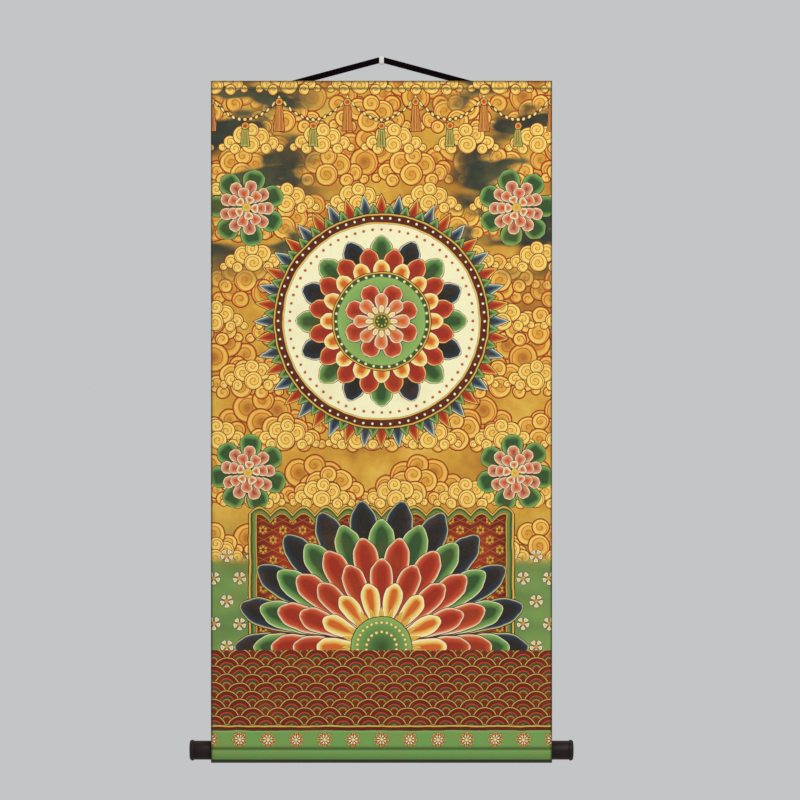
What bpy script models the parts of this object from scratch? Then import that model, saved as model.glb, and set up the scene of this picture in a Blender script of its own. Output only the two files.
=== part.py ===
"""A printed cloth scroll on a wall hook.

The cloth's top is sewn into a sleeve round a lath, and its foot is wound round a wooden roller with
turned end knobs. A flat ribbon holds it on a small hook.

Metres. +Z is up and +X is to the right as seen from the front, which faces -Y. The wall is the plane
y = 0, and the origin is the centre of the hook's back face on it.
"""

import math

import bmesh
import bpy

# Driving sizes
GAP = 0.0003  # between pieces that touch
CLOTH_WIDTH = 0.450
CLOTH_HEIGHT = 0.900  # from the top fold to the underside of the wrapped roller
CLOTH_THICKNESS = 0.0012
CLOTH_TOP = -0.0272  # height of the top fold, below the hook's centre
ROLLER_RADIUS = 0.0153
WRAP_RADIUS = 0.0168  # outside of the cloth round the roller
WALL_CLEARANCE = 0.0012  # behind the wrapped roller
SHEET_PROUD = 0.0010  # the hanging sheet's face, in front of the wrapped roller
CREASE_RISE = 0.0018  # the foot's crease, above the roller's axis
CREASE_EASE = 0.0065  # height over which the sheet turns in to the crease
PUFF_DEPTH = 0.0007  # how far the cloth stands off the roller just below the crease
PUFF_PEAK = math.radians(12.0)  # below the roller's axis, seen from the front
PUFF_END = math.radians(80.0)
WRAP_END = math.radians(330.0)  # from the front, down and round the roller
SEAM_DROP = 0.0104  # the sleeve's seam, below the top fold
SEAM_DEPTH = 0.0007
SEAM_HALF_WIDTH = 0.0021
HEM_BELOW_SEAM = 0.0055
FOLD_RADIUS = 0.0019  # middle of the cloth, at the sleeve's folds
SEAM_RADIUS = 0.0013  # middle of the cloth, where the sleeve closes on the seam
BATTEN_DEPTH = 0.0050
BATTEN_HEIGHT = 0.0068
BATTEN_EDGE = 0.0010
END_INSET = 0.0006  # the lath's and the roller's ends, inside the cloth's side edge
KNOB_RADIUS = 0.01255
KNOB_LIP_RADIUS = 0.0138
KNOB_END_RADIUS = 0.0098  # flat of the end, inside its rounded edge
KNOB_REACH = 0.0287  # past the cloth's side edge
KNOB_LIP_LENGTH = 0.0066
KNOB_DOME = 0.0005
SPIGOT_RADIUS = 0.0060
SPIGOT_LENGTH = 0.0200
SPIGOT_CHAMFER = 0.0010
RIBBON_WIDTH = 0.0075
RIBBON_THICKNESS = 0.0015
RIBBON_FOOT_X = 0.1040  # where the ribbon's middle passes the top fold
RIBBON_HIDDEN = 0.0270  # length sewn behind the sleeve
RIBBON_FLAT_HALF = 0.0018  # level stretch over the hook
RIBBON_BEND_RADIUS = 0.0090
HOOK_WIDTH = 0.0066
HOOK_THICKNESS = 0.0017
HOOK_TOP = 0.0051
HOOK_BEND_RADIUS = 0.0020
HOOK_EDGE = 0.0004
LIP_PLAY = 0.0010  # between the ribbon and the hook's lip

# Places worked out from them
ROLLER_Y = -(WRAP_RADIUS + WALL_CLEARANCE)
ROLLER_Z = CLOTH_TOP - CLOTH_HEIGHT + WRAP_RADIUS
HALF_CLOTH = CLOTH_THICKNESS / 2
FRONT_Y = ROLLER_Y - WRAP_RADIUS - SHEET_PROUD
SHEET_Y = FRONT_Y + HALF_CLOTH  # middle of the hanging sheet
BATTEN_Y = FRONT_Y + CLOTH_THICKNESS + GAP + BATTEN_DEPTH / 2
BATTEN_Z = CLOTH_TOP - CLOTH_THICKNESS - GAP - BATTEN_HEIGHT / 2
SLEEVE_BACK_Y = BATTEN_Y + BATTEN_DEPTH / 2 + GAP + HALF_CLOTH  # middle of the sleeve's back
RIBBON_Y = SLEEVE_BACK_Y + HALF_CLOTH + GAP + RIBBON_THICKNESS / 2
HOOK_ARM_Z = -RIBBON_WIDTH / 2 - GAP - HOOK_THICKNESS / 2
HOOK_LIP_Y = RIBBON_Y - RIBBON_THICKNESS / 2 - LIP_PLAY - HOOK_THICKNESS / 2

MERGE = 0.000001
TURN_STEPS = 56


def clear_scene():
    """Remove what the file holds."""
    for item in list(bpy.data.objects):
        bpy.data.objects.remove(item, do_unlink=True)


def new_collection(name):
    """Link an empty collection to the scene."""
    collection = bpy.data.collections.new(name)
    bpy.context.scene.collection.children.link(collection)
    return collection


def linear(channel):
    """The linear value of one sRGB channel of 0 to 255."""
    share = channel / 255
    return share / 12.92 if share <= 0.04045 else ((share + 0.055) / 1.055) ** 2.4


def finish(name, colour, roughness):
    """A Principled material in an sRGB colour."""
    material = bpy.data.materials.new(name)
    material.use_nodes = True
    shader = material.node_tree.nodes["Principled BSDF"]
    shader.inputs["Base Color"].default_value = (*[linear(c) for c in colour], 1.0)
    shader.inputs["Roughness"].default_value = roughness
    shader.inputs["Metallic"].default_value = 0.0
    return material


def add_object(name, mesh, material, collection):
    """Link a mesh as a named object with its own material."""
    mesh.materials.append(material)
    item = bpy.data.objects.new(name, mesh)
    collection.objects.link(item)
    return item


def arc(centre, radius, start, end, steps):
    """Points on a circle, both ends included; angles in radians."""
    angles = [start + (end - start) * i / steps for i in range(steps + 1)]
    return [(centre[0] + radius * math.cos(a), centre[1] + radius * math.sin(a)) for a in angles]


def rounded_path(corners, step=math.radians(15)):
    """A path of (a, b, radius) corners, each turned with an arc of its radius."""
    points = [corners[0][:2]]
    for before, corner, after in zip(corners, corners[1:], corners[2:]):
        way_in = math.atan2(corner[1] - before[1], corner[0] - before[0])
        way_out = math.atan2(after[1] - corner[1], after[0] - corner[0])
        turn = math.remainder(way_out - way_in, 2 * math.pi)
        side = math.copysign(math.pi / 2, turn)
        reach = corner[2] * math.tan(abs(turn) / 2)
        start = (corner[0] - reach * math.cos(way_in), corner[1] - reach * math.sin(way_in))
        centre = (
            start[0] + corner[2] * math.cos(way_in + side),
            start[1] + corner[2] * math.sin(way_in + side),
        )
        steps = max(2, math.ceil(abs(turn) / step))
        points += arc(centre, corner[2], way_in - side, way_in - side + turn, steps)
    points.append(corners[-1][:2])
    return points


def ease(share):
    """A smooth step from 0 to 1."""
    share = min(1.0, max(0.0, share))
    return share * share * (3 - 2 * share)


def sleeve_path():
    """Hem, back and top of the sleeve, to the top of the hanging sheet, as (y, z)."""
    seam_z = CLOTH_TOP - SEAM_DROP
    flap_y = SHEET_Y + SEAM_DEPTH + CLOTH_THICKNESS + GAP
    under_batten = BATTEN_Z - BATTEN_HEIGHT / 2 - GAP - HALF_CLOTH
    top = CLOTH_TOP - HALF_CLOTH
    return rounded_path([
        (flap_y, seam_z - HEM_BELOW_SEAM, 0.0),
        (flap_y, seam_z, SEAM_RADIUS),
        (SLEEVE_BACK_Y, under_batten, SEAM_RADIUS),
        (SLEEVE_BACK_Y, top, FOLD_RADIUS),
        (SHEET_Y, top, FOLD_RADIUS),
        (SHEET_Y, seam_z + SEAM_HALF_WIDTH, 0.0),
    ])


def seam_path(steps=8):
    """The soft trough that the sleeve's seam draws in the sheet."""
    seam_z = CLOTH_TOP - SEAM_DROP
    points = []
    for i in range(1, steps + 1):
        share = 2 * i / steps - 1
        dip = SEAM_DEPTH * (1 + math.cos(math.pi * share)) / 2
        points.append((SHEET_Y + dip, seam_z - SEAM_HALF_WIDTH * share))
    return points


def puff(angle, crease):
    """How far the wrap stands off the roller, at an angle below its axis."""
    if angle < PUFF_PEAK:
        return PUFF_DEPTH * ease((angle - crease) / (PUFF_PEAK - crease))
    return PUFF_DEPTH * ease((PUFF_END - angle) / (PUFF_END - PUFF_PEAK))


def foot_path(ease_steps=8, wrap_steps=72):
    """The sheet's turn in to the crease, and the wrap round the roller."""
    snug = WRAP_RADIUS - HALF_CLOTH
    crease = -math.asin(CREASE_RISE / snug)
    crease_y = ROLLER_Y - snug * math.cos(crease)
    points = []
    for i in range(ease_steps):
        share = i / ease_steps
        y = SHEET_Y + (crease_y - SHEET_Y) * share ** 2.4
        points.append((y, ROLLER_Z + CREASE_RISE + CREASE_EASE * (1 - share)))
    for i in range(wrap_steps + 1):
        angle = crease + (WRAP_END - crease) * i / wrap_steps
        radius = snug + puff(angle, crease)
        points.append((ROLLER_Y - radius * math.cos(angle), ROLLER_Z - radius * math.sin(angle)))
    return points


def strip_mesh(name, path, half_width):
    """An open surface along a (y, z) path, as wide as the piece in X."""
    shape = bmesh.new()
    rows = [[shape.verts.new((x, y, z)) for x in (-half_width, half_width)] for y, z in path]
    for low, high in zip(rows, rows[1:]):
        shape.faces.new((low[0], low[1], high[1], high[0]))
    mesh = bpy.data.meshes.new(name)
    shape.to_mesh(mesh)
    shape.free()
    return mesh


def thicken(item, thickness):
    """Give an open surface its thickness, half to each side."""
    solid = item.modifiers.new("thickness", "SOLIDIFY")
    solid.thickness = thickness
    solid.offset = 0.0
    solid.use_even_offset = True


def round_edges(item, width, segments):
    """Round the sharp edges of a piece."""
    bevel = item.modifiers.new("rounded edges", "BEVEL")
    bevel.width = width
    bevel.segments = segments
    bevel.limit_method = "ANGLE"
    bevel.angle_limit = math.radians(50)


def turned(name, profile, material, collection):
    """A turned piece along X from (along, radius) points that start and end on the axis."""
    mesh = bpy.data.meshes.new(name)
    points = [(radius, 0.0, along) for along, radius in reversed(profile)]
    edges = [(i, i + 1) for i in range(len(points) - 1)]
    mesh.from_pydata(points, edges, [])
    item = add_object(name, mesh, material, collection)
    turn = item.modifiers.new("turning", "SCREW")
    turn.steps = TURN_STEPS
    turn.render_steps = TURN_STEPS
    turn.use_merge_vertices = True
    turn.merge_threshold = MERGE
    item.rotation_euler = (0.0, math.pi / 2, 0.0)
    return item


def make_cloth(collection):
    """The printed cloth: sleeve, hanging sheet and the wrap round the roller."""
    path = sleeve_path() + seam_path() + foot_path()
    mesh = strip_mesh("picture_cloth", path, CLOTH_WIDTH / 2)
    cloth = add_object("picture_cloth", mesh, finish("printed cloth", (162, 129, 78), 0.8), collection)
    thicken(cloth, CLOTH_THICKNESS)


def make_batten(collection):
    """The lath in the top sleeve."""
    bpy.ops.mesh.primitive_cube_add(size=1.0, location=(0.0, BATTEN_Y, BATTEN_Z))
    batten = bpy.context.object
    batten.name = "top_batten"
    batten.scale = (CLOTH_WIDTH - 2 * END_INSET, BATTEN_DEPTH, BATTEN_HEIGHT)
    bpy.ops.object.transform_apply(location=False, rotation=False, scale=True)
    batten.data.materials.append(finish("batten wood", (190, 152, 104), 0.7))
    bpy.context.collection.objects.unlink(batten)
    collection.objects.link(batten)
    round_edges(batten, BATTEN_EDGE, 3)


def make_roller(collection):
    """The wooden roller, with a socket in each end for a knob's spigot."""
    end = CLOTH_WIDTH / 2 - END_INSET
    socket_radius = SPIGOT_RADIUS + GAP
    socket_floor = end - SPIGOT_LENGTH - 2 * GAP
    half = [(end, ROLLER_RADIUS), (end, socket_radius), (socket_floor, socket_radius), (socket_floor, 0.0)]
    profile = [(-along, radius) for along, radius in reversed(half)] + half
    roller = turned("bottom_roller", profile, finish("roller wood", (196, 160, 112), 0.7), collection)
    roller.location = (0.0, ROLLER_Y, ROLLER_Z)


def knob_profile():
    """A knob's outline from its spigot's tip to its end, along from the roller's end face."""
    shoulder = GAP
    end = KNOB_REACH + END_INSET
    lip = end - KNOB_LIP_LENGTH
    bead = (KNOB_LIP_RADIUS - KNOB_RADIUS) * 1.4
    round_reach = KNOB_LIP_RADIUS - KNOB_END_RADIUS
    corner = [
        (end - KNOB_DOME - round_reach * (1 - math.sin(a)), KNOB_END_RADIUS + round_reach * math.cos(a))
        for a in [math.pi / 2 * i / 6 for i in range(7)]
    ]
    rise = [
        (lip + bead * i / 4, KNOB_RADIUS + (KNOB_LIP_RADIUS - KNOB_RADIUS) * math.sin(math.pi / 2 * i / 4))
        for i in range(5)
    ]
    return [
        (shoulder - SPIGOT_LENGTH, 0.0),
        (shoulder - SPIGOT_LENGTH, SPIGOT_RADIUS - SPIGOT_CHAMFER),
        (shoulder - SPIGOT_LENGTH + SPIGOT_CHAMFER, SPIGOT_RADIUS),
        (shoulder, SPIGOT_RADIUS),
        (shoulder, KNOB_RADIUS - GAP),
        (shoulder + GAP, KNOB_RADIUS),
        *rise,
        *corner,
        (end - KNOB_DOME * 0.25, KNOB_END_RADIUS / 2),
        (end, 0.0),
    ]


def make_knobs(collection):
    """The turned end knobs, the left one a half turn of the right one."""
    along = CLOTH_WIDTH / 2 - END_INSET
    for side, way in (("right", 1), ("left", -1)):
        material = finish(f"{side} knob", (44, 35, 34), 0.45)
        knob = turned(f"roller_knob_{side}", knob_profile(), material, collection)
        knob.location = (way * along, ROLLER_Y, ROLLER_Z)
        knob.rotation_euler = (0.0, way * math.pi / 2, 0.0)


def ribbon_path(bend_steps=5):
    """The right half of the ribbon's middle line, as (x, z) from the apex, and its slope."""
    drop = -CLOTH_TOP
    slope = math.atan2(drop, RIBBON_FOOT_X)
    for _ in range(20):
        start_x = RIBBON_FLAT_HALF + RIBBON_BEND_RADIUS * math.sin(slope)
        start_z = -RIBBON_BEND_RADIUS * (1 - math.cos(slope))
        slope = math.atan2(drop + start_z, RIBBON_FOOT_X - start_x)
    centre = (RIBBON_FLAT_HALF, -RIBBON_BEND_RADIUS)
    bend = arc(centre, RIBBON_BEND_RADIUS, math.pi / 2, math.pi / 2 - slope, bend_steps)
    end = (
        RIBBON_FOOT_X + RIBBON_HIDDEN * math.cos(slope),
        CLOTH_TOP - RIBBON_HIDDEN * math.sin(slope),
    )
    return bend + [end]


def make_ribbon(collection):
    """The flat hanging ribbon, level over the hook and straight to each end."""
    right = ribbon_path()
    path = [(-x, z) for x, z in reversed(right)] + right
    shape = bmesh.new()
    rows = []
    for i, (x, z) in enumerate(path):
        before = path[max(i - 1, 0)]
        after = path[min(i + 1, len(path) - 1)]
        way = math.atan2(after[1] - before[1], after[0] - before[0])
        across = (-math.sin(way) * RIBBON_WIDTH / 2, math.cos(way) * RIBBON_WIDTH / 2)
        rows.append([
            shape.verts.new((x - across[0], RIBBON_Y, z - across[1])),
            shape.verts.new((x + across[0], RIBBON_Y, z + across[1])),
        ])
    for low, high in zip(rows, rows[1:]):
        shape.faces.new((low[0], high[0], high[1], low[1]))
    mesh = bpy.data.meshes.new("hanging_ribbon")
    shape.to_mesh(mesh)
    shape.free()
    ribbon = add_object("hanging_ribbon", mesh, finish("ribbon braid", (24, 14, 16), 0.85), collection)
    thicken(ribbon, RIBBON_THICKNESS)


def make_hook(collection):
    """The small white hook: a leg on the wall, an arm and a lip in front of the ribbon."""
    path = rounded_path([
        (-HOOK_THICKNESS / 2, HOOK_TOP, 0.0),
        (-HOOK_THICKNESS / 2, HOOK_ARM_Z, HOOK_BEND_RADIUS),
        (HOOK_LIP_Y, HOOK_ARM_Z, HOOK_BEND_RADIUS),
        (HOOK_LIP_Y, HOOK_TOP, 0.0),
    ])
    mesh = strip_mesh("wall_hook", path, HOOK_WIDTH / 2)
    hook = add_object("wall_hook", mesh, finish("white hook", (222, 216, 212), 0.4), collection)
    thicken(hook, HOOK_THICKNESS)
    round_edges(hook, HOOK_EDGE, 2)


def main():
    clear_scene()
    collection = new_collection("scroll_painting")
    make_cloth(collection)
    make_batten(collection)
    make_roller(collection)
    make_knobs(collection)
    make_ribbon(collection)
    make_hook(collection)
    for item in collection.objects:
        item.data.shade_smooth()
        item.data.set_sharp_from_angle(angle=math.radians(30))


main()
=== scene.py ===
"""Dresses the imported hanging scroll: printed cloth, braid, knobs, hook, lath, roller and stitches.

The frame is in metres, +Z up, and the scroll's face looks along -Y. Patterns on the cloth are worked
out in millimetres of cloth: across from its middle, and down from the top fold.
"""

import math

import bmesh
import bpy
from bpy.props import FloatProperty, FloatVectorProperty, PointerProperty
from bpy.types import Operator, Panel, PropertyGroup
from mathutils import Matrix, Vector


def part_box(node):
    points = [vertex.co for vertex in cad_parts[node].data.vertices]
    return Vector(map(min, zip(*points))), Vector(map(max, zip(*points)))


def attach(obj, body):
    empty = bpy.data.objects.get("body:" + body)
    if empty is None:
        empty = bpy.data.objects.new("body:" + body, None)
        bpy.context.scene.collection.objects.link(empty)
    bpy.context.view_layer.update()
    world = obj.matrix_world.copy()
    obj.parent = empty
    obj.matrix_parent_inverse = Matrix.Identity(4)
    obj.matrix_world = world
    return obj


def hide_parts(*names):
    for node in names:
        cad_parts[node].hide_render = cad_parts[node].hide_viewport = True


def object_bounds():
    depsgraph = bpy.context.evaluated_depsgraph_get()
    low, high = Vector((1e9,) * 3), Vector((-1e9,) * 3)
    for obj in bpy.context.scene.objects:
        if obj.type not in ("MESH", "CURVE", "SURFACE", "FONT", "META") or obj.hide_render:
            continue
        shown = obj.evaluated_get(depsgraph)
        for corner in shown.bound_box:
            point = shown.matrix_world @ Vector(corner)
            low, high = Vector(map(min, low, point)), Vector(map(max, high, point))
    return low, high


bl_info = {
    "name": "Hanging Picture Scroll",
    "version": (1, 0, 0),
    "blender": (4, 5, 0),
    "location": "3D View > Sidebar > Scroll",
    "description": "Builds the visible pieces and finishes of a printed cloth scroll on its hook",
    "category": "Object",
}

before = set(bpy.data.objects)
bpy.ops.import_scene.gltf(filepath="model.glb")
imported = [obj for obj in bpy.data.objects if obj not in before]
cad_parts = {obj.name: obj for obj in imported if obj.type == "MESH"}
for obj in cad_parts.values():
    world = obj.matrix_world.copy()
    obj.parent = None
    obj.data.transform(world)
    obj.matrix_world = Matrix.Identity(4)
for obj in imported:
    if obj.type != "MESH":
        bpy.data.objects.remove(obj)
CAD_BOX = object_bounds()

# Places read from the frame
CLOTH_LOW, CLOTH_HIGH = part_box("picture_cloth")
ROLLER_LOW, ROLLER_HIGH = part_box("bottom_roller")
BATTEN_LOW, BATTEN_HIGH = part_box("top_batten")
RIBBON_LOW, RIBBON_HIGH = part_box("hanging_ribbon")
HOOK_LOW, HOOK_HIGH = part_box("wall_hook")
KNOB_LOW, KNOB_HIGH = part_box("roller_knob_right")

# Sizes that the boxes don't tell
GAP = 0.0003
CLOTH_THICKNESS = 0.0012
CREASE_RISE = 0.0018
CREASE_EASE = 0.0065
PUFF_DEPTH = 0.0007
PUFF_PEAK = math.radians(12)
PUFF_END = math.radians(80)
WRAP_END = math.radians(330)
SEAM_DROP = 0.0104
SEAM_DEPTH = 0.0007
SEAM_HALF_WIDTH = 0.0021
HEM_BELOW_SEAM = 0.0055
FOLD_RADIUS = 0.0019
SEAM_RADIUS = 0.0013
RIBBON_FOOT_X = 0.1040
RIBBON_HIDDEN = 0.0270
RIBBON_FLAT_HALF = 0.0018
RIBBON_BEND_RADIUS = 0.0090
KNOB_LIP_LENGTH = 0.0066
KNOB_RADIUS = 0.01255
KNOB_END_RADIUS = 0.0098
KNOB_DOME = 0.0005
SPIGOT_RADIUS = 0.0060
SPIGOT_LENGTH = 0.0200
HOOK_WIDTH = 0.0061
HOOK_THICKNESS = 0.0014
HOOK_BEND_RADIUS = 0.0020

# Places worked out from both
HALF_CLOTH = CLOTH_THICKNESS / 2
CLOTH_TOP = CLOTH_HIGH.z
HALF_WIDTH = CLOTH_HIGH.x
FRONT_Y = CLOTH_LOW.y
SHEET_Y = FRONT_Y + HALF_CLOTH
ROLLER_Y = (ROLLER_LOW.y + ROLLER_HIGH.y) / 2
ROLLER_Z = (ROLLER_LOW.z + ROLLER_HIGH.z) / 2
SNUG = (ROLLER_HIGH.z - ROLLER_LOW.z) / 2 + GAP + HALF_CLOTH  # radius of the cloth's middle on the roller
SLEEVE_BACK_Y = BATTEN_HIGH.y + GAP + HALF_CLOTH
SLEEVE_FLAP_Y = SHEET_Y + SEAM_DEPTH + CLOTH_THICKNESS + GAP
SEAM_Z = CLOTH_TOP - SEAM_DROP
RIBBON_Y = (RIBBON_LOW.y + RIBBON_HIGH.y) / 2
RIBBON_THICKNESS = RIBBON_HIGH.y - RIBBON_LOW.y
RIBBON_WIDTH = 2 * RIBBON_HIGH.z
KNOB_LIP_RADIUS = (KNOB_HIGH.z - KNOB_LOW.z) / 2

# The photograph's view: an 800-pixel square, about 1.32 mm of cloth to a pixel
PIXELS = 800
MM_PER_PIXEL = 1.319
CLOTH_MIDDLE_PIXEL = 381.5
HOOK_PIXEL = 60.1
LENS = 1000.0
SENSOR = 36.0

# Fineness of the meshes, and small details
CLOTH_COLUMNS = 60
SHEET_SPACING = 0.006
RIM_STEPS = 4  # faces round the cloth's rounded side edge
RIM_ROUND = 0.0004
WEAVE_PITCH = 0.00055
BRAID_STATION = 0.00045  # between the rings of the braid's mesh
BRAID_POINTS = 32
BRAID_PITCH = 0.0026
BRAID_RELIEF = 0.00022
BRAID_SPREAD = 0.0002  # how far the strands' rounds stand past the ribbon's plain edge
STITCH_PITCH = 0.0026
STITCH_LENGTH = 0.0023
TACK_PITCH = 0.0021
TACK_LENGTH = 0.0019
TACK_INSETS = (0.0030, 0.0100, 0.0170)  # of the rows, from each end of the ribbon
THREAD_RADIUS = 0.00019
SEAM_END_GAP = 0.003  # from the last stitch to the cloth's side edge
BACK_STITCH_DROP = 0.0022  # from the front's stitches to those of the back

# The cloth's bake map. Across it lie the print, one rim, the reverse and the other rim; an end strip each
# lies above and below them
BAKE_PRINT_START, BAKE_PRINT_WIDTH = 0.004, 0.72
BAKE_REVERSE_START, BAKE_REVERSE_WIDTH = 0.735, 0.255
BAKE_RIM_STARTS = (0.725, 0.990)
BAKE_RIM_STEP = 0.002
BAKE_TOP, BAKE_HEIGHT = 0.995, 0.985
BAKE_LAST = 0.9985  # the far side of the second rim, and the strip above
BAKE_FOOT_STRIP = 0.006
BAKE_STRIP_HEIGHT = 0.0012
BAKE_STRIP_STRETCH = 2.1  # to a metre of the cloth's width

# The print, in mm
LINE_SOFT = 0.25  # half the width over which a printed edge goes from clear to solid
WANDER = 1.6  # how far the drawing strays from its formulas
ROSETTE_DOWN = 318.0
CLOUDS_END = 640.0
GREEN_TOP = 606.0
PANEL_TOP = 572.0
PANEL_HALF_WIDTH = 176.0
SCALLOP_WIDTH = 29.333
SCALLOP_RISE = 11.0
LILY_DOWN = 748.0
WAVES_TOP = 752.0
WAVES_END = 853.0
BORDER_TOP = 850.0
BORDER_FLOWERS_DOWN = 870.0
SWAG_WIDTH = 90.0
SWAG_FALL = 30.0
SWAG_LOW = 52.0

FULL_TURN = 2 * math.pi
MM = 1000.0
AXES = ((1.0, 0.0, 0.0), (0.0, 1.0, 0.0), (0.0, 0.0, 1.0))


def linear(channel):
    """The linear value of one sRGB channel of 0 to 255."""
    share = channel / 255
    return share / 12.92 if share <= 0.04045 else ((share + 0.055) / 1.055) ** 2.4


def srgb(*channels):
    """A linear colour with alpha, from sRGB channels of 0 to 255."""
    return (*map(linear, channels), 1.0)


def arc(centre, radius, start, end, steps):
    """Points on a circle, both ends included; angles in radians."""
    angles = [start + (end - start) * i / steps for i in range(steps + 1)]
    return [(centre[0] + radius * math.cos(a), centre[1] + radius * math.sin(a)) for a in angles]


def heading(start, end):
    """The angle at which a path runs from one point to another."""
    return math.atan2(end[1] - start[1], end[0] - start[0])


def heading_at(path, i):
    """The angle at which a path passes one of its points."""
    return heading(path[max(i - 1, 0)], path[min(i + 1, len(path) - 1)])


def rounded_path(corners, step=math.radians(6)):
    """A path of (a, b, radius) corners, each turned with an arc of its radius."""
    points = [corners[0][:2]]
    for before, corner, after in zip(corners, corners[1:], corners[2:]):
        a, b, radius = corner
        way = heading(before, corner)
        turn = math.remainder(heading(corner, after) - way, FULL_TURN)
        side = math.copysign(math.pi / 2, turn)
        reach = radius * math.tan(abs(turn) / 2)
        centre = (
            a - reach * math.cos(way) + radius * math.cos(way + side),
            b - reach * math.sin(way) + radius * math.sin(way + side),
        )
        steps = max(2, math.ceil(abs(turn) / step))
        points += arc(centre, radius, way - side, way - side + turn, steps)
    points.append(corners[-1][:2])
    return points


def divided(points, spacing):
    """A path whose stretches are no longer than a spacing."""
    fine = [points[0]]
    for start, end in zip(points, points[1:]):
        parts = max(1, math.ceil(math.dist(start, end) / spacing))
        fine += [tuple(a + (b - a) * i / parts for a, b in zip(start, end)) for i in range(1, parts + 1)]
    return fine


def lengths(points):
    """Length along a path at each of its points."""
    along = [0.0]
    for start, end in zip(points, points[1:]):
        along.append(along[-1] + math.dist(start, end))
    return along


def ease(share):
    """A smooth step from 0 to 1."""
    share = min(1.0, max(0.0, share))
    return share * share * (3 - 2 * share)


def sleeve_path():
    """Hem, back and top of the sleeve, to the top of the hanging sheet, as (y, z)."""
    top = CLOTH_TOP - HALF_CLOTH
    return divided(rounded_path([
        (SLEEVE_FLAP_Y, SEAM_Z - HEM_BELOW_SEAM, 0.0),
        (SLEEVE_FLAP_Y, SEAM_Z, SEAM_RADIUS),
        (SLEEVE_BACK_Y, BATTEN_LOW.z - GAP - HALF_CLOTH, SEAM_RADIUS),
        (SLEEVE_BACK_Y, top, FOLD_RADIUS),
        (SHEET_Y, top, FOLD_RADIUS),
        (SHEET_Y, SEAM_Z + SEAM_HALF_WIDTH, 0.0),
    ]), CLOTH_THICKNESS)


def seam_path(steps=20):
    """The soft trough that the sleeve's seam draws in the sheet."""
    shares = [2 * i / steps - 1 for i in range(1, steps + 1)]
    return [
        (SHEET_Y + SEAM_DEPTH * (1 + math.cos(math.pi * share)) / 2, SEAM_Z - SEAM_HALF_WIDTH * share)
        for share in shares
    ]


def puff(angle, crease):
    """How far the wrap stands off the roller, at an angle below its axis."""
    if angle < PUFF_PEAK:
        return PUFF_DEPTH * ease((angle - crease) / (PUFF_PEAK - crease))
    return PUFF_DEPTH * ease((PUFF_END - angle) / (PUFF_END - PUFF_PEAK))


def foot_path(ease_steps=20, wrap_steps=160):
    """The sheet's turn in to the crease, and the wrap round the roller."""
    crease = -math.asin(CREASE_RISE / SNUG)
    turn_in = ROLLER_Y - SNUG * math.cos(crease) - SHEET_Y
    points = []
    for i in range(ease_steps):
        share = i / ease_steps
        points.append((SHEET_Y + turn_in * share ** 2.4, ROLLER_Z + CREASE_RISE + CREASE_EASE * (1 - share)))
    for i in range(wrap_steps + 1):
        angle = crease + (WRAP_END - crease) * i / wrap_steps
        radius = SNUG + puff(angle, crease)
        points.append((ROLLER_Y - radius * math.cos(angle), ROLLER_Z - radius * math.sin(angle)))
    return points


def cloth_path():
    """The middle of the cloth from its hem to its end on the roller, as (y, z)."""
    start = sleeve_path() + seam_path()
    foot = foot_path()
    return start[:-1] + divided([start[-1], foot[0]], SHEET_SPACING) + foot[1:]


CLOTH_PATH = cloth_path()
CLOTH_RUN = lengths(CLOTH_PATH)
# The point of the path where the top fold turns down the front, from which places down the print count
TOP_FOLD = max(range(len(CLOTH_PATH)), key=lambda i: (round(CLOTH_PATH[i][1], 6), -CLOTH_PATH[i][0]))


def down_print(height):
    """Place down the print, in mm, of a height on the front of the cloth."""
    last = next(i for i in range(TOP_FOLD, len(CLOTH_PATH)) if CLOTH_PATH[i + 1][1] < height)
    return (CLOTH_RUN[last] - CLOTH_RUN[TOP_FOLD] + CLOTH_PATH[last][1] - height) * MM


SEAM_DOWN = down_print(SEAM_Z)
CREASE_DOWN = down_print(ROLLER_Z + CREASE_RISE)
# Where the painted shade on the cloth's underside round the roller starts and ends, in mm down the print
FOOT_SHADE_START = CREASE_DOWN + 14.5
FOOT_SHADE_END = FOOT_SHADE_START + 12.0

# The print's and the pieces' colours
GOLD = srgb(214, 158, 54)
GOLD_LIGHT = srgb(240, 198, 88)
GOLD_DEEP = srgb(170, 110, 40)
RUST = srgb(134, 46, 20)
ORANGE = srgb(214, 100, 34)
CREAM = srgb(251, 246, 200)
PALE = srgb(248, 218, 110)
DUSK = srgb(40, 50, 44)
DUSK_LIGHT = srgb(92, 92, 60)
GREEN = srgb(114, 160, 82)
GREEN_LIGHT = srgb(146, 182, 96)
GREEN_DARK = srgb(50, 84, 44)
RED = srgb(160, 44, 24)
RED_LIGHT = srgb(204, 78, 42)
RED_DEEP = srgb(110, 28, 18)
MAROON = srgb(72, 24, 18)
INK = srgb(36, 34, 32)
NAVY = srgb(40, 52, 66)
NAVY_LIGHT = srgb(104, 134, 140)
PINK = srgb(228, 160, 120)
SHADE = srgb(34, 26, 14)


def edged(line, width, first, *rest):
    """Colours from a shape's edge inwards, by mm: a drawn line of a width, and what lies inside it."""
    return [(0.0, line), (width, line), (width + 0.4, first), *rest]


# Half widths of petals along their length, both as shares
PETAL = ((0.0, 0.62), (0.45, 0.96), (0.75, 0.84), (0.92, 0.45), (1.0, 0.0))
ROUND_PETAL = ((0.0, 0.45), (0.5, 0.96), (0.75, 0.88), (0.91, 0.55), (1.0, 0.0))
FLAME = ((0.0, 0.98), (0.35, 0.9), (0.7, 0.5), (1.0, 0.0))
# Lobes of a cloud from the back to the front: across, down and radius in mm
CLOUD_LOBES = (
    (-39, 11, 6), (41, 10, 6), (-28, 4, 10), (30, 3, 10), (-12, -5, 13), (14, -7, 13), (0, -14, 10),
    (-20, 12, 8), (23, 12, 8), (2, 6, 13),
)
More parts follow.
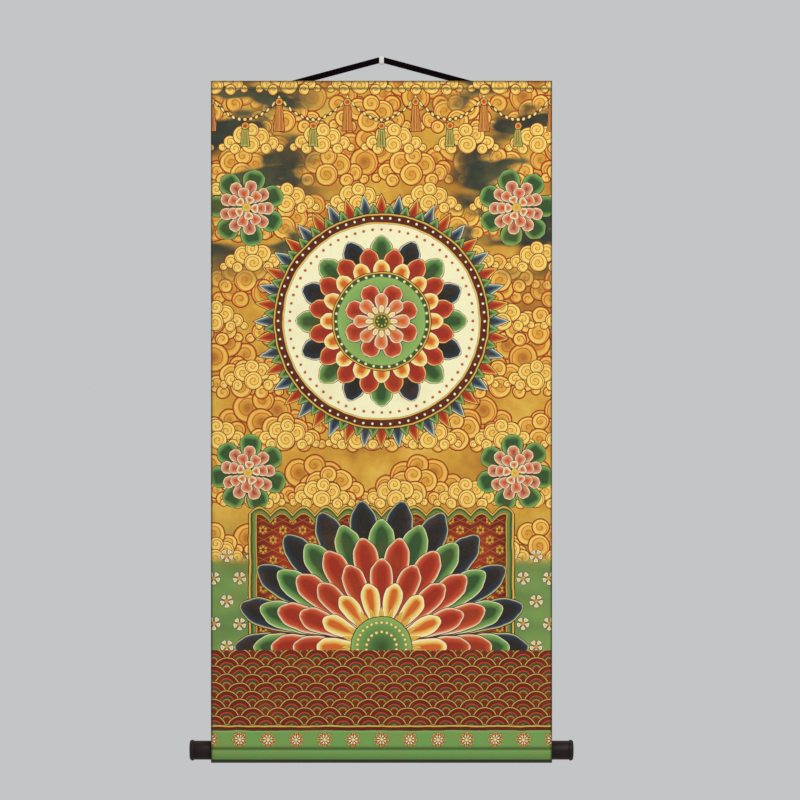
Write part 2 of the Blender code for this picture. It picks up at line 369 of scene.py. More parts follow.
# Layers of clouds from the back to the front: cell width and height, start across and down, size,
# how far the dusk hides them, and colours
CLOUD_LAYERS = (
    (136.0, 86.0, 20.0, -30.0, 1.5, 1.0, edged(
        RUST, 1.2, ORANGE, (3.4, GOLD_LIGHT), (10.0, GOLD), (18.0, GOLD_DEEP))),
    (112.0, 70.0, 70.0, 12.0, 1.2, 1.0, edged(
        RUST, 1.1, ORANGE, (2.8, PALE), (5.0, GOLD_LIGHT), (12.0, GOLD))),
    (94.0, 78.0, 30.0, 40.0, 0.95, 0.0, edged(RUST, 1.0, PALE, (5.0, PALE), (9.0, GOLD_LIGHT))),
)


def maths(operation):
    """A method that adds one Math node to its value's finish."""
    return lambda value, *others: value.finish.math(operation, value, *others)


class Value:
    """A number, colour or vector that varies over a surface. Sums on a number add their own Math nodes."""

    __add__ = __radd__ = maths("ADD")
    __sub__ = maths("SUBTRACT")
    __mul__ = __rmul__ = maths("MULTIPLY")
    __mod__ = maths("FLOORED_MODULO")
    __gt__ = maths("GREATER_THAN")
    __lt__ = maths("LESS_THAN")
    __abs__ = maths("ABSOLUTE")

    def __init__(self, finish, socket):
        self.finish = finish
        self.socket = socket

    def __rsub__(self, number):
        return self.finish.math("SUBTRACT", number, self)

    def __truediv__(self, number):
        return self * (1 / number)


def set_stops(ramp, stops):
    """Give a ramp its (place, colour) stops."""
    while len(ramp.elements) < len(stops):
        ramp.elements.new(1.0)
    ramp.elements.foreach_set("position", [place for place, _ in stops])
    ramp.elements.foreach_set("color", [part for _, colour in stops for part in colour])


def set_outline(mapping, points):
    """Give a curve its (along, height) points."""
    curve = mapping.curves[0]
    while len(curve.points) < len(points):
        curve.points.new(1.0, 1.0)
    for point, place in zip(curve.points, points):
        point.location = place
    mapping.update()


class Finish:
    """A Principled material in the making, whose nodes all come from node()."""

    def __init__(self, name):
        self.material = bpy.data.materials.new(name)
        self.material.use_nodes = True
        self.tree = self.material.node_tree
        self.shader = self.tree.nodes["Principled BSDF"]

    def feed(self, socket, value):
        """A link where the value varies, and the socket's own setting where it doesn't."""
        if isinstance(value, Value):
            self.tree.links.new(value.socket, socket)
        else:
            socket.default_value = value

    def node(self, kind, values=None, output=0, **settings):
        """One node: its settings are made first, then its sockets take their values or links."""
        node = self.tree.nodes.new("ShaderNode" + kind)
        for name, setting in settings.items():
            if name == "stops":
                set_stops(node.color_ramp, setting)
            elif name == "outline":
                set_outline(node.mapping, setting)
            else:
                setattr(node, name, setting)
        for place, value in (values or {}).items():
            self.feed(node.inputs[place], value)
        return Value(self, node.outputs[output])

    def math(self, operation, *numbers):
        """A Math node on numbers or varying values."""
        return self.node("Math", dict(enumerate(numbers)), operation=operation)

    def vector(self, operation, *vectors, output=0):
        """A Vector Math node; output 1 is its single number."""
        return self.node("VectorMath", dict(enumerate(vectors)), output, operation=operation)

    def scaled(self, value, factor, start):
        """A value times a factor, plus a start."""
        return self.math("MULTIPLY_ADD", value, factor, start)

    def step(self, value, low, high):
        """0 up to low and 1 from high, with a smooth rise between them; it falls where low is the larger."""
        return self.node("MapRange", {0: value, 1: low, 2: high}, interpolation_type="SMOOTHSTEP")

    def blend(self, share, low, high):
        """From one colour to another."""
        return self.node("Mix", {0: share, 6: low, 7: high}, 2, data_type="RGBA")

    def between(self, share, low, high):
        """From one number to another."""
        return self.node("Mix", {0: share, 2: low, 3: high})

    def ramp(self, value, stops):
        """Colours by a value of 0 to 1."""
        return self.node("ValToRGB", {0: value}, stops=stops)

    def pair(self, across, down):
        """A flat point from two numbers."""
        return self.node("CombineXYZ", {0: across, 1: down})

    def distance_of(self, across, down):
        """How far off a point is, from its two parts."""
        return self.vector("LENGTH", self.pair(across, down), output=1)

    def part(self, vector, axis):
        """One part of a vector."""
        return self.vector("DOT_PRODUCT", vector, AXES[axis], output=1)

    def noise(self, point, scale, detail=2.0, roughness=0.5, output=0):
        """Soft noise of 0 to 1, or its colour as output 1."""
        values = {"Vector": point, "Scale": scale, "Detail": detail, "Roughness": roughness}
        return self.node("TexNoise", values, output)

    def place(self, scale=(1.0, 1.0, 1.0), centre=(0.0, 0.0, 0.0)):
        """Object coordinates in metres from a centre, stretched by a scale."""
        here = self.vector("SUBTRACT", self.node("TexCoord", output="Object"), centre)
        return self.node("Mapping", {"Vector": here, "Scale": scale})

    def map_place(self, name, across, down):
        """A piece's own UV map, which is in metres, stretched by a scale."""
        here = self.node("UVMap", uv_map=name)
        return self.node("Mapping", {"Vector": here, "Scale": (across, down, 0.0)})

    def dress(self, colour, roughness, height=None, depth=0.0, gloss=0.5):
        """Join colour, roughness and relief to the shader, and set its gloss, the same all over."""
        self.feed(self.shader.inputs["Base Color"], colour)
        self.feed(self.shader.inputs["Roughness"], roughness)
        if height is not None:
            relief = self.node("Bump", {"Strength": 1.0, "Distance": depth, "Height": height})
            self.feed(self.shader.inputs["Normal"], relief)
        self.shader.inputs["Specular IOR Level"].default_value = gloss
        return self.material


class Print(Finish):
    """The printed face, painted from the back to the front in millimetres of cloth."""

    def __init__(self, name):
        super().__init__(name)
        self.flat = self.map_place("cloth", MM, MM)
        stray = self.noise(self.flat, 0.045, output=1)
        point = self.vector("MULTIPLY_ADD", stray, (2 * WANDER, 2 * WANDER, 0.0), self.flat)
        point = self.vector("SUBTRACT", point, (WANDER, WANDER, 0.0))
        self.across = self.part(point, 0)
        self.down = self.part(point, 1)
        self.colour = GOLD
        self.dusk = 0.0  # where dark patches cover the ground

    def paint(self, share, colour):
        """Lay a colour over the print where share is 1."""
        self.colour = self.blend(share, self.colour, colour)

    def inside(self, depth):
        """1 inside a shape's edge and 0 outside it."""
        return self.step(depth, -LINE_SOFT, LINE_SOFT)

    def tint(self, depth, stops):
        """Colour by the depth in mm inside a shape's edge."""
        reach = stops[-1][0]
        return self.ramp(depth / reach, [(mm / reach, colour) for mm, colour in stops])

    def shape(self, depth, stops):
        """Lay down a shape, coloured by the depth in mm inside its edge."""
        self.paint(self.inside(depth), self.tint(depth, stops))

    def centre(self, across, down):
        """Take a middle for the rings that follow, from how far off it is in both directions."""
        self.distance = self.distance_of(across, down)
        self.angle = self.math("ARCTAN2", across, down)

    def fold(self, count, turn=0.0):
        """0 at the middle of each of a ring's parts, and 1 between them."""
        return self.math("PINGPONG", self.scaled(self.angle, count / math.pi, 2 * turn), 1.0)

    def petals(self, count, inner, outer, outline, turn=0.0):
        """Depth inside a ring of petals; the outline gives their half width along them, as a share."""
        share = self.scaled(self.distance, 1 / (outer - inner), -inner / (outer - inner))
        width = self.node("FloatCurve", {1: share}, outline=outline)
        depth = (width - self.fold(count, turn)) * self.distance * (math.pi / count)
        return self.math("MINIMUM", depth, outer - self.distance)

    def ring(self, count, inner, outer, outline, turn, stops, other_stops=None):
        """Lay down a ring of petals, in two colourings by turns where a second one is given."""
        depth = self.petals(count, inner, outer, outline, turn)
        colour = self.tint(depth, stops)
        if other_stops:
            index = self.math("FLOOR", self.scaled(self.angle, count / FULL_TURN, turn + 0.5))
            colour = self.blend(index % 2, colour, self.tint(depth, other_stops))
        self.paint(self.inside(depth), colour)

    def disc(self, radius, stops):
        """Lay down a disc."""
        self.shape(radius - self.distance, stops)

    def beads(self, count, ring, radius, stops):
        """Lay down a ring of beads."""
        along = self.fold(count) * (ring * math.pi / count)
        self.shape(radius - self.distance_of(along, self.distance - ring), stops)

    def repeated(self, value, width):
        """A place along a row of cells, from the middle of its own cell."""
        return (value + width / 2) % width - width / 2

    def cells(self, width, height, top):
        """Place across and down in the cells of a lattice, every second row half a cell over."""
        row = self.math("FLOOR", (self.down - top) / height)
        across = self.scaled(row % 2, width / 2, self.across)
        return self.repeated(across, width), self.scaled(row, -height, self.down - top - height / 2)


def paint_ground(p):
    """The gold ground with its cloudy tone, and the green of the lower sides."""
    tone = p.noise(p.flat, 0.012, 4.0, 0.6)
    p.colour = p.ramp(tone, [(0.3, GOLD_DEEP), (0.5, GOLD), (0.7, GOLD_LIGHT)])
    streak = p.noise(p.map_place("cloth", 11.0, 26.0), 1.0, 2.0, 0.45)
    high = p.step(p.down, 300.0, 220.0) * p.step(abs(p.across), 50.0, 120.0)
    p.dusk = p.step(streak, 0.44, 0.56) * high
    p.paint(p.dusk, p.blend(p.step(tone, 0.35, 0.75), DUSK, DUSK_LIGHT))
    low = p.step(p.scaled(tone, 60.0, p.down), 590.0, 690.0)
    p.paint(low, p.blend(streak, GREEN_DARK, GREEN_LIGHT))


def paint_clouds(p, width, height, start_x, start_y, size, bare, stops):
    """Rows of scroll clouds, one to a cell, every second row half a cell over, turned round by chance."""
    down = p.down - start_y
    row = p.math("FLOOR", down / height)
    across = p.scaled(row % 2, width / 2, p.across) + start_x
    column = p.math("FLOOR", across / width)
    chance = p.math("FRACT", p.math("SINE", p.scaled(column, 12.99, row * 78.23)) * 43758.5)
    flip = p.scaled(chance > 0.5, 2.0, -1.0)
    cell_x = p.scaled(column, -width, across - width / 2) * flip / size
    cell_y = p.scaled(row, -height, down - height / 2) / size
    cell = p.pair(cell_x, cell_y)
    lobe = (0.0, 500.0, 1.0)
    for x, y, radius in CLOUD_LOBES:
        near = p.vector("DISTANCE", cell, (x, y, 0.0), output=1) < radius
        lobe = p.node("Mix", {0: near, 4: lobe, 5: (x, y, radius)}, 1, data_type="VECTOR")
    arm = p.vector("SUBTRACT", cell, p.vector("MULTIPLY", lobe, (1.0, 1.0, 0.0)))
    depth = p.part(lobe, 2) - p.vector("LENGTH", arm, output=1)
    angle = p.math("ARCTAN2", p.part(arm, 1), p.part(arm, 0))
    curl = p.math("FRACT", depth / 5.2 - angle / FULL_TURN)
    within = p.step(p.down, CLOUDS_END, CLOUDS_END - 20.0) * (1 - p.dusk * bare)
    line = p.step(curl, 0.26, 0.16) * p.step(depth, 1.0, 3.0)
    depth = depth * size
    p.paint(p.inside(depth) * within, p.blend(line, p.tint(depth, stops), ORANGE))


def paint_side_flowers(p):
    """Small flowers on the green at the lower sides."""
    p.centre(*p.cells(34.0, 30.0, GREEN_TOP + 6.0))
    low = p.step(p.down, GREEN_TOP, GREEN_TOP + 6.0)
    depth = p.petals(5, 1.0, 9.5, ROUND_PETAL)
    colour = p.ramp(depth * 0.3, [(0.0, MAROON), (0.25, MAROON), (0.4, CREAM), (1.0, PINK)])
    p.paint(low * p.step(depth, 0.0, 0.5), colour)
    p.paint(p.step(p.distance, 2.6, 2.0) * low, GOLD)


def paint_peonies(p):
    """A round peony and its leaves, low and high at each side."""
    for across, down, turn in ((176.0, 518.0, 0.1), (178.0, 168.0, 0.3)):
        p.centre(abs(p.across) - across, down - p.down)
        p.ring(7, 8.0, 52.0, PETAL, turn, edged(INK, 0.9, GREEN_LIGHT, (3.0, GREEN), (8.0, GREEN_DARK)))
        p.ring(9, 8.0, 37.0, ROUND_PETAL, turn, edged(MAROON, 0.9, CREAM, (2.8, PINK), (9.0, RED)))
        p.ring(
            7, 5.0, 27.0, ROUND_PETAL, turn + 0.5, edged(MAROON, 0.8, CREAM, (2.6, PINK), (7.0, RED_LIGHT)))
        p.ring(5, 2.0, 17.0, ROUND_PETAL, turn, edged(MAROON, 0.8, CREAM, (5.0, ORANGE)))
        p.disc(6.0, [(0.0, MAROON), (0.9, GOLD_LIGHT), (6.0, GOLD)])


def paint_garland(p):
    """Beads strung in swags along the top, with a tassel where they meet."""
    half = SWAG_WIDTH / 2
    near = p.math("PINGPONG", p.across, half)
    off = p.down - p.scaled(near * near, -SWAG_FALL / half ** 2, SWAG_LOW)
    p.shape(1.5 - abs(off), [(0.0, MAROON), (1.5, RUST)])
    bead = p.distance_of(p.repeated(p.across, SWAG_WIDTH / 12), off)
    p.shape(3.1 - bead, edged(INK, 0.8, GOLD_LIGHT, (3.1, CREAM)))
    for middle, top, length, light, dark in (
        (p.math("PINGPONG", p.across + half, half), SWAG_LOW - SWAG_FALL, 46.0, RED_LIGHT, RED),
        (near, SWAG_LOW + 2.0, 34.0, GREEN_LIGHT, GREEN_DARK),
    ):
        fall = p.down - top
        side = p.scaled(fall, 0.10, 3.4) - middle
        depth = p.math("MINIMUM", p.math("MINIMUM", side, fall - 10.0), length - fall)
        p.shape(depth, edged(MAROON, 0.8, light, (4.0, dark)))
        p.paint(p.step(depth, 0.6, 1.0) * p.step(p.math("SINE", middle * 3.4), 0.4, 0.8), GOLD_LIGHT)
        knot = p.distance_of(middle, fall - 6.5)
        p.shape(5.4 - knot, edged(INK, 0.8, GOLD_LIGHT, (3.0, ORANGE), (5.4, RED)))


def paint_rosette(p):
    """The large round flower of many rings in the upper middle."""
    p.centre(p.across, ROSETTE_DOWN - p.down)
    p.ring(
        44, 128.0, 170.0, FLAME, 0.0, edged(MAROON, 0.9, PALE, (2.6, ORANGE), (6.0, RED)),
        edged(MAROON, 0.9, CREAM, (2.6, NAVY_LIGHT), (6.0, NAVY)))
    p.ring(44, 128.0, 156.0, FLAME, 0.5, edged(INK, 0.9, GREEN_LIGHT, (6.0, GREEN_DARK)))
    p.disc(143.0, edged(INK, 1.0, GOLD_LIGHT, (3.0, GOLD), (3.4, MAROON), (12.0, RED_DEEP)))
    p.beads(72, 136.0, 2.5, [(0.0, INK), (0.7, INK), (1.2, CREAM), (2.5, CREAM)])
    p.disc(132.0, edged(INK, 0.9, GOLD, (2.8, PALE), (3.2, RUST), (3.8, CREAM), (50.0, CREAM)))
    p.beads(64, 121.0, 1.9, [(0.0, RUST), (0.7, ORANGE), (1.9, RED_LIGHT)])
    p.ring(
        16, 40.0, 114.0, PETAL, 0.0,
        edged(RUST, 0.9, CREAM, (2.6, GREEN_LIGHT), (3.2, GREEN), (11.0, GREEN_DARK)),
        edged(RUST, 0.9, CREAM, (2.6, NAVY_LIGHT), (3.2, NAVY), (11.0, INK)))
    p.ring(16, 40.0, 98.0, PETAL, 0.5, edged(MAROON, 0.9, PALE, (2.4, PINK), (3.0, RED_LIGHT), (9.0, RED)))
    p.ring(16, 30.0, 82.0, ROUND_PETAL, 0.0, edged(RUST, 0.8, CREAM, (4.0, PALE), (9.0, ORANGE)))
    p.disc(66.0, edged(
        INK, 0.9, GOLD_LIGHT, (2.6, GOLD), (3.0, MAROON), (4.0, GREEN_DARK), (7.0, GREEN_DARK),
        (8.4, GREEN_LIGHT), (30.0, GREEN)))
    p.beads(36, 60.4, 1.9, [(0.0, INK), (0.5, CREAM), (1.9, PALE)])
    p.ring(
        8, 10.0, 51.0, ROUND_PETAL, 0.5,
        edged(MAROON, 0.9, CREAM, (2.4, PINK), (4.0, RED_LIGHT), (11.0, RED)))
    p.ring(8, 6.0, 38.0, PETAL, 0.0, edged(MAROON, 0.8, CREAM, (3.0, PINK), (8.0, ORANGE)))
    p.ring(12, 2.0, 22.0, ROUND_PETAL, 0.0, edged(RUST, 0.7, CREAM, (4.0, GOLD_LIGHT)))
    p.disc(12.0, [(0.0, MAROON), (0.8, GOLD), (3.0, GREEN), (3.4, GREEN_DARK), (12.0, GREEN_DARK)])
    p.beads(8, 6.0, 1.3, [(0.0, GOLD), (1.3, PALE)])


def paint_panel(p):
    """The red patterned panel behind the water lily, with its banded, scalloped border."""
    scallop = abs(p.math("SINE", p.across * (math.pi / SCALLOP_WIDTH)))
    top = p.down - p.scaled(scallop, -SCALLOP_RISE, PANEL_TOP)
    depth = p.math("MINIMUM", top, PANEL_HALF_WIDTH - abs(p.across))
    p.shape(depth, edged(
        INK, 1.1, GOLD_LIGHT, (3.6, GOLD), (4.0, MAROON), (5.2, GREEN_DARK), (9.0, GREEN), (9.6, INK),
        (10.4, GOLD), (11.6, GOLD), (12.2, MAROON), (14.0, RED_DEEP), (40.0, RED)))
    field = p.step(depth, 12.5, 14.0)
    across, down = p.cells(26.0, 13.0, PANEL_TOP - SCALLOP_RISE)
    p.centre(across, down)
    rim = abs(abs(across) + abs(down) * 2.0 - 13.0)
    bloom = p.petals(6, 0.0, 5.6, ROUND_PETAL)
    p.paint(p.step(rim, 1.1, 0.5) * field, GOLD_DEEP)
    p.paint(p.step(bloom, 0.0, 0.5) * field, p.blend(p.step(p.distance, 2.4, 2.0), GOLD, GREEN_DARK))


def paint_lily(p):
    """The large open water lily, seen from the side, above the waves."""
    p.centre(p.across, LILY_DOWN - p.down)
    p.ring(22, 66.0, 196.0, PETAL, 0.5, edged(INK, 1.0, PALE, (2.6, NAVY_LIGHT), (4.0, NAVY), (12.0, INK)))
    p.ring(
        20, 56.0, 170.0, PETAL, 0.0,
        edged(INK, 1.0, CREAM, (2.8, GREEN_LIGHT), (5.0, GREEN), (12.0, GREEN_DARK)))
    p.ring(18, 46.0, 147.0, PETAL, 0.5, edged(MAROON, 1.0, CREAM, (3.0, PINK), (5.0, RED_LIGHT), (12.0, RED)))
    p.ring(16, 34.0, 118.0, PETAL, 0.0, edged(MAROON, 0.9, CREAM, (3.0, PINK), (5.0, RED_LIGHT), (11.0, RED)))
    p.ring(14, 22.0, 87.0, PETAL, 0.5, edged(RUST, 0.9, CREAM, (5.0, PALE), (10.0, ORANGE)))
    p.ring(24, 22.0, 54.0, FLAME, 0.0, [(0.0, RUST), (0.8, GOLD_LIGHT), (3.0, GOLD)])
    p.disc(41.0, edged(INK, 0.9, GREEN_LIGHT, (10.0, GREEN), (38.0, GREEN_DARK)))
    for count, ring in ((30, 32.5), (18, 20.0)):
        p.beads(count, ring, 2.4, [(0.0, INK), (0.7, GOLD_LIGHT), (2.4, CREAM)])


def paint_waves(p):
    """Overlapping ringed waves, the nearer rows over the farther ones."""
    width, height, radius = 34.0, 11.0, 17.6
    row = p.math("FLOOR", (p.down - WAVES_TOP) / height)
    depth = None
    for ahead in range(3):
        number = row + ahead
        across = p.scaled(number % 2, width / 2, p.across)
        middle = p.scaled(number, height, WAVES_TOP + 4.0)
        near = radius - p.distance_of(p.repeated(across, width), p.down - middle)
        depth = near if depth is None else p.between(near > 0.0, depth, near)
    within = p.math("MINIMUM", p.down - WAVES_TOP, WAVES_END - p.down)
    p.paint(p.inside(within), p.tint(depth, edged(
        INK, 0.8, GOLD_LIGHT, (1.9, GOLD), (2.3, MAROON), (3.0, RED_DEEP), (6.4, RED_DEEP), (6.8, INK),
        (7.2, RED_LIGHT), (8.8, RED), (9.4, INK), (10.0, GREEN_DARK), (11.8, GREEN_DARK), (12.4, GOLD),
        (13.4, RUST), (radius, RED_DEEP))))


def paint_base(p):
    """The green of the foot, with a border above it and a row of flowers down to the crease."""
    p.shape(p.down - BORDER_TOP, edged(
        INK, 1.0, GOLD_LIGHT, (3.0, GOLD), (3.4, INK), (4.2, MAROON), (7.0, RED_DEEP), (7.6, INK),
        (8.2, GREEN_LIGHT), (10.4, GREEN), (24.0, GREEN)))
    p.centre(p.repeated(p.across, 37.5), p.down - BORDER_FLOWERS_DOWN)
    p.ring(8, 1.5, 10.5, PETAL, 0.0, [(0.0, INK), (0.6, MAROON), (1.0, PALE), (1.8, RED_LIGHT), (4.0, RED)])
    p.ring(8, 1.0, 6.8, ROUND_PETAL, 0.5, edged(MAROON, 0.5, CREAM, (4.0, ORANGE)))
    p.disc(2.6, [(0.0, INK), (0.6, GOLD_LIGHT), (2.6, CREAM)])


def paint_age(p):
    """Uneven ink, and a little dirt in the weave."""
    cloud = p.noise(p.flat, 0.02, 5.0, 0.65)
    fine = p.noise(p.flat, 0.9, 3.0, 0.6)
    p.paint(p.step(cloud, 0.45, 0.75) * 0.16, GOLD_DEEP)
    p.paint(p.step(fine, 0.5, 0.8) * 0.30, MAROON)
    p.paint(p.step(fine, 0.45, 0.2) * 0.14, PALE)


def paint_edges(p, settings):
    """Painted shade: dark along the side edges, the top fold and the cloth's underside round the roller, and
    soft along the seam and the crease.
    """
    across, down = p.part(p.flat, 0), p.part(p.flat, 1)
    edge = HALF_WIDTH * MM
    # Painted shade along the two side edges, where the cloth's edge turns away
    p.paint(p.step(abs(across), edge - 3.6, edge - 0.3) * 0.85, settings.side_edge_shade)
    # Painted shade along the top fold, on both faces next to it
    p.paint(p.step(abs(down), 4.6, 1.2) * 0.8, settings.top_fold_shade)
    # Painted shade on the cloth's underside, where it turns under the roller
    foot = p.step(down, FOOT_SHADE_START, FOOT_SHADE_START + 1.0) * p.step(down, FOOT_SHADE_END + 6.0, FOOT_SHADE_END)
    p.paint(foot, settings.foot_shade)
    seam = p.step(abs(down - SEAM_DOWN), 3.2, 0.4)
    above = p.step(down, CREASE_DOWN - 5.0, CREASE_DOWN - 0.6)
    crease = above * p.step(down, CREASE_DOWN + 3.0, CREASE_DOWN + 0.4)
    p.paint(p.math("MAXIMUM", seam, crease) * 0.6, SHADE)


def paint_reverse(p):
    """The unprinted back of the cloth, where the print shows through faintly."""
    back = p.node("Attribute", output="Fac", attribute_name="reverse")
    tone = p.noise(p.flat, 0.009, 4.0, 0.6)
    thread = p.noise(p.map_place("cloth", 60.0, 1400.0), 1.0, 2.0, 0.6)
    plain = p.blend(tone, srgb(214, 203, 178), srgb(236, 229, 210))
    plain = p.blend(thread * 0.35, plain, srgb(188, 172, 142))
    p.paint(back * 0.9, plain)


def weave_height(f):
    """Relief of a plain weave, with the odd thicker thread."""
    place = f.map_place("cloth", 1.0, 1.0)
    warp, weft = (f.math("SINE", f.part(place, axis) * (FULL_TURN / WEAVE_PITCH)) for axis in (0, 1))
    slub = f.noise(f.map_place("cloth", 40.0, 900.0), 1.0, 2.0, 0.6)
    return warp * weft * 0.5 + slub * 1.6


def cloth_material(settings):
    """The cloth, with the print on its face and the plain weave on its back."""
    p = Print("printed cloth")
    paint_ground(p)
    for layer in CLOUD_LAYERS:
        paint_clouds(p, *layer)
    for paint in (
        paint_side_flowers, paint_peonies, paint_garland, paint_rosette, paint_panel, paint_lily, paint_waves,
        paint_base, paint_age,
    ):
        paint(p)
    paint_edges(p, settings)
    paint_reverse(p)
    return p.dress(p.colour, 0.78, weave_height(p), 0.00006, gloss=0.25)


# ---- Finishes of the small pieces ----


def knob_material(settings):
    """Dark lacquered wood with faint turning rings and dull, lighter blotches."""
    f = Finish("dark lacquer")
    grain = f.noise(f.place((60.0, 700.0, 700.0)), 1.0, 3.0, 0.6)
    blotch = f.noise(f.place(), 160.0, 3.0, 0.55)
    colour = f.ramp(grain, [(0.3, srgb(24, 14, 13)), (0.55, settings.lacquer), (0.8, srgb(46, 31, 29))])
    colour = f.blend(f.step(blotch, 0.62, 0.78) * 0.3, colour, srgb(70, 55, 48))
    turning = f.noise(f.place((2600.0, 20.0, 20.0)), 1.0, 1.0, 0.5)
    return f.dress(colour, f.scaled(blotch, 0.25, 0.34), turning + grain * 0.5, 0.00008, gloss=0.2)


def wood_material(settings):
    """Pale softwood with long grain on the sides and rings on the ends."""
    f = Finish("pale softwood")
    long_grain = f.noise(f.place((6.0, 420.0, 420.0)), 1.0, 4.0, 0.65)
    heart = (0.0, ROLLER_Y - 0.006, ROLLER_Z - 0.011)
    rings = f.node("TexWave", {
        "Vector": f.place(centre=heart), "Scale": 190.0, "Distortion": 1.6, "Detail": 2.0,
    }, 1, wave_type="RINGS", rings_direction="X")
    tone = f.between(0.4, long_grain, rings)
    colour = f.ramp(tone, [
        (0.25, settings.dark_grain), (0.55, settings.light_grain), (0.9, srgb(222, 190, 142)),
    ])
    return f.dress(colour, f.scaled(tone, 0.2, 0.55), long_grain, 0.0001, gloss=0.3)


def braid_material(settings):
    """Near-black braid whose fine threads run along its strands."""
    f = Finish("black braid")
    place = f.map_place("braid", 1.0, 1.0)
    lean = abs(f.part(place, 1) - RIBBON_WIDTH) * 1.2
    threads = f.math("SINE", (f.part(place, 0) + lean) * (FULL_TURN / 0.00055))
    fuzz = f.noise(place, 900.0, 3.0, 0.6)
    tone = f.scaled(threads, 0.2, 0.4) + fuzz * 0.35
    colour = f.ramp(tone, [(0.15, srgb(3, 0, 1)), (0.5, settings.braid), (0.95, srgb(26, 12, 15))])
    return f.dress(colour, f.scaled(fuzz, 0.2, 0.75), threads * 0.5 + fuzz, 0.00012, gloss=0.04)


def thread_material(settings):
    """Twisted sewing thread."""
    f = Finish("sewing thread")
    values = {"Vector": f.place(), "Scale": 900.0, "Distortion": 0.6}
    twist = f.node("TexWave", values, 1, bands_direction="DIAGONAL")
    fuzz = f.noise(f.place(), 1500.0)
    colour = f.blend(fuzz * 0.5, f.blend(twist, srgb(112, 82, 48), settings.thread), srgb(214, 176, 112))
    return f.dress(colour, f.scaled(fuzz, 0.15, 0.6), twist, 0.00005, gloss=0.3)


def enamel_material(settings):
    """Off-white baked enamel with faint unevenness and patches of grime."""
    f = Finish("off-white enamel")
    flow = f.noise(f.place(), 240.0)
    grime = f.step(f.noise(f.place(), 420.0, 4.0, 0.65), 0.55, 0.8)
    colour = f.blend(flow, settings.enamel, srgb(222, 217, 211))
    return f.dress(
        f.blend(grime * 0.3, colour, srgb(168, 158, 146)), f.scaled(flow, 0.2, 0.24), flow, 0.0001)


def floor_material(settings):
    """Plain pale floor."""
    f = Finish("pale floor")
    return f.dress(f.blend(f.noise(f.place(), 1.4) * 0.2, settings.floor, srgb(214, 214, 212)), 0.8)


# ---- Shapes ----


def deselect():
    """Select nothing."""
    bpy.ops.object.select_all(action="DESELECT")


def activate(item):
    """Select one piece alone."""
    deselect()
    item.select_set(True)
    bpy.context.view_layer.objects.active = item


def edit_faces(item, test):
    """Enter edit mode with only those faces selected that pass a test."""
    bpy.ops.object.mode_set(mode="EDIT")
    bpy.ops.mesh.select_mode(type="FACE")
    bpy.ops.mesh.select_all(action="DESELECT")
    for face in bmesh.from_edit_mesh(item.data).faces:
        if test(face):
            face.select_set(True)
    bmesh.update_edit_mesh(item.data)


def extrude(*move):
    """Pull the selected faces out by a distance along each axis."""
    bpy.ops.mesh.extrude_region_move(TRANSFORM_OT_translate={"value": move})


def leave_edit():
    """Turn all faces outwards, and leave edit mode."""
    bpy.ops.mesh.select_all(action="SELECT")
    bpy.ops.mesh.normals_make_consistent()
    bpy.ops.object.mode_set(mode="OBJECT")


def modify(item, name, kind, **settings):
    """Give a piece a modifier, and apply it."""
    modifier = item.modifiers.new(name, kind)
    for setting, value in settings.items():
        setattr(modifier, setting, value)
    activate(item)
    bpy.ops.object.modifier_apply(modifier=name)


def settle(item, name, material, angle=35.0):
    """Name a finished piece, put its place in its mesh, smooth it and give it its finish."""
    activate(item)
    item.name = item.data.name = name
    bpy.ops.object.transform_apply()
    bpy.ops.object.shade_smooth_by_angle(angle=math.radians(angle))
    item.data.materials.clear()
    item.data.materials.append(material)
    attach(item, "root")


def loft(shape, rows, maps):
    """Join rings of places with faces; each map gives a corner's place by its row and column."""
    layers = [(shape.loops.layers.uv.new(name), place) for name, place in maps.items()]
    rings = [[shape.verts.new(place) for place in row] for row in rows]
    count = len(rings[0])
    for i in range(len(rows) - 1):
        for k in range(count):
            corners = ((i, k), (i, k + 1), (i + 1, k + 1), (i + 1, k))
            face = shape.faces.new([rings[row][column % count] for row, column in corners])
            face.smooth = True
            for loop, corner in zip(face.loops, corners):
                for layer, place in layers:
                    loop[layer].uv = place(*corner)
    return rings


def finish_loft(shape, name, material):
    """Make a closed shape a piece, with its faces outwards."""
    bmesh.ops.recalc_face_normals(shape, faces=shape.faces)
    mesh = bpy.data.meshes.new(name)
    shape.to_mesh(mesh)
    shape.free()
    mesh.materials.append(material)
    item = bpy.data.objects.new(name, mesh)
    bpy.context.collection.objects.link(item)
    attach(item, "root")
    return item


def hang(x, z, unevenness):
    """How far the hanging sheet stands off its flat plane, in metres."""
    top = ease((SEAM_Z - 0.006 - z) / 0.09)
    foot = ease((z - ROLLER_Z - 0.012) / 0.07)
    across = math.sin(x * 19.0 + 0.6) * 0.5 + math.sin(x * 41.0 + z * 5.0 + 2.1) * 0.3
    down = math.sin(z * 9.0 + x * 3.0) * 0.2
    return unevenness * (across + down) * top * foot


def cloth_section():
    """Round the cloth, printed side first: x, side from -1 (reverse) to 1 (print), and bake place."""
    straight = HALF_WIDTH - RIM_ROUND
    across = [-straight + 2 * straight * i / CLOTH_COLUMNS for i in range(CLOTH_COLUMNS + 1)]
    turns = [math.pi / 2 - math.pi * i / RIM_STEPS for i in range(1, RIM_STEPS)]
    rim = [(straight + RIM_ROUND * math.cos(a), math.sin(a)) for a in turns]
    print_step, reverse_step = BAKE_PRINT_WIDTH / CLOTH_COLUMNS, BAKE_REVERSE_WIDTH / CLOTH_COLUMNS
    right, left = BAKE_RIM_STARTS
    ring = [(x, 1.0, BAKE_PRINT_START + print_step * i) for i, x in enumerate(across)]
    ring += [(x, side, right + BAKE_RIM_STEP * i) for i, (x, side) in enumerate(rim, 1)]
    ring += [(x, -1.0, BAKE_REVERSE_START + reverse_step * i) for i, x in enumerate(reversed(across))]
    ring += [(-x, side, left + BAKE_RIM_STEP * i) for i, (x, side) in enumerate(reversed(rim), 1)]
    return ring


